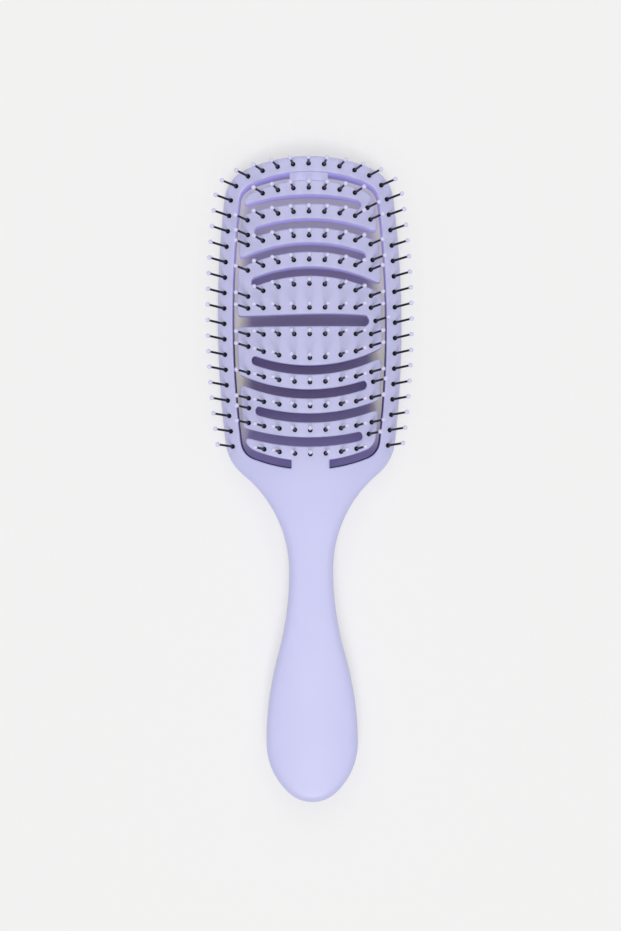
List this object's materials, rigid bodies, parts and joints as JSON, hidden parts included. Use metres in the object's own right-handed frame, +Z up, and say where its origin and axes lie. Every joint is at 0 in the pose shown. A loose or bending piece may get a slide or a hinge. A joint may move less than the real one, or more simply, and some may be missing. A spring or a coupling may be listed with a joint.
{
  "type": "detangling brush",
  "caption": "Flat vent brush for detangling hair: a flexing serpentine panel with ball-tipped pins in an oval frame on a rounded handle.",
  "frame": {"origin": "under the middle of the length, on the flat back", "axes": "+Y towards the tip of the head, +Z up through the bristles, +X to the right seen from above"},
  "size_m": [0.0763, 0.24, 0.0305],
  "materials": {
    "body": "satin",
    "pins": "gloss",
    "tips": "gloss"
  },
  "bodies": {
    "frame": {"front_shell": "body", "handle_cover": "body", "top_bridge": "body", "bar_1": "body", "bar_1_pins": "pins", "bar_1_tips": "tips", "bar_10_pins": "pins", "bar_10_tips": "tips", "frame_pins": "pins", "frame_tips": "tips"},
    "bar_2": {"bar_2": "body", "web_1": "body", "bar_2_pins": "pins", "bar_2_tips": "tips"},
    "bar_3": {"bar_3": "body", "web_2": "body", "bar_3_pins": "pins", "bar_3_tips": "tips"},
    "bar_4": {"bar_4": "body", "web_3": "body", "bar_4_pins": "pins", "bar_4_tips": "tips"},
    "bar_5": {"bar_5": "body", "web_4": "body", "bar_5_pins": "pins", "bar_5_tips": "tips"},
    "bar_6": {"bar_6": "body", "web_5": "body", "web_6": "body", "bar_6_pins": "pins", "bar_6_tips": "tips"},
    "bar_7": {"bar_7": "body", "web_7": "body", "bar_7_pins": "pins", "bar_7_tips": "tips"},
    "bar_8": {"bar_8": "body", "web_8": "body", "bar_8_pins": "pins", "bar_8_tips": "tips"},
    "bar_9": {"bar_9": "body", "web_9": "body", "bar_9_pins": "pins", "bar_9_tips": "tips"}
  },
  "joints": [
    {"name": "bar_2_flex", "type": "hinge", "parent": "frame", "child": "bar_2", "pos_m": [0.02174, 0.10076, 0.00841], "axis": [1, 0, 0], "range_deg": [0, 3.4], "stiffness_Nm_per_rad": 0.6, "deforming": ["web_1"]},
    {"name": "bar_3_flex", "type": "hinge", "parent": "bar_2", "child": "bar_3", "pos_m": [-0.02273, 0.09089, 0.00826], "axis": [1, 0, 0], "range_deg": [0, 3.4], "stiffness_Nm_per_rad": 0.6, "deforming": ["web_2"]},
    {"name": "bar_4_flex", "type": "hinge", "parent": "bar_3", "child": "bar_4", "pos_m": [0.02349, 0.08133, 0.00814], "axis": [1, 0, 0], "range_deg": [-3.4, 0], "stiffness_Nm_per_rad": 0.6, "deforming": ["web_3"]},
    {"name": "bar_5_flex", "type": "hinge", "parent": "bar_4", "child": "bar_5", "pos_m": [-0.02405, 0.07179, 0.00805], "axis": [1, 0, 0], "range_deg": [-3.4, 0], "stiffness_Nm_per_rad": 0.6, "deforming": ["web_4"]},
    {"name": "bar_9_flex", "type": "hinge", "parent": "frame", "child": "bar_9", "pos_m": [0.02174, 0.01664, 0.00841], "axis": [-1, 0, 0], "range_deg": [0, 3.4], "stiffness_Nm_per_rad": 0.6, "deforming": ["web_9"]},
    {"name": "bar_8_flex", "type": "hinge", "parent": "bar_9", "child": "bar_8", "pos_m": [-0.02273, 0.02651, 0.00826], "axis": [-1, 0, 0], "range_deg": [0, 3.4], "stiffness_Nm_per_rad": 0.6, "deforming": ["web_8"]},
    {"name": "bar_7_flex", "type": "hinge", "parent": "bar_8", "child": "bar_7", "pos_m": [0.02349, 0.03607, 0.00814], "axis": [-1, 0, 0], "range_deg": [-3.4, 0], "stiffness_Nm_per_rad": 0.6, "deforming": ["web_7"]},
    {"name": "bar_6_flex", "type": "hinge", "parent": "bar_7", "child": "bar_6", "pos_m": [-0.02405, 0.04561, 0.00805], "axis": [-1, 0, 0], "range_deg": [-3.4, 0], "stiffness_Nm_per_rad": 0.6, "deforming": ["web_6"]}
  ],
  "couplings": [
    {"joint": "bar_3_flex", "follows": "bar_2_flex", "ratio": 1},
    {"joint": "bar_4_flex", "follows": "bar_2_flex", "ratio": -1},
    {"joint": "bar_5_flex", "follows": "bar_2_flex", "ratio": -1},
    {"joint": "bar_9_flex", "follows": "bar_2_flex", "ratio": 1},
    {"joint": "bar_8_flex", "follows": "bar_2_flex", "ratio": 1},
    {"joint": "bar_7_flex", "follows": "bar_2_flex", "ratio": -1},
    {"joint": "bar_6_flex", "follows": "bar_2_flex", "ratio": -1}
  ]
}
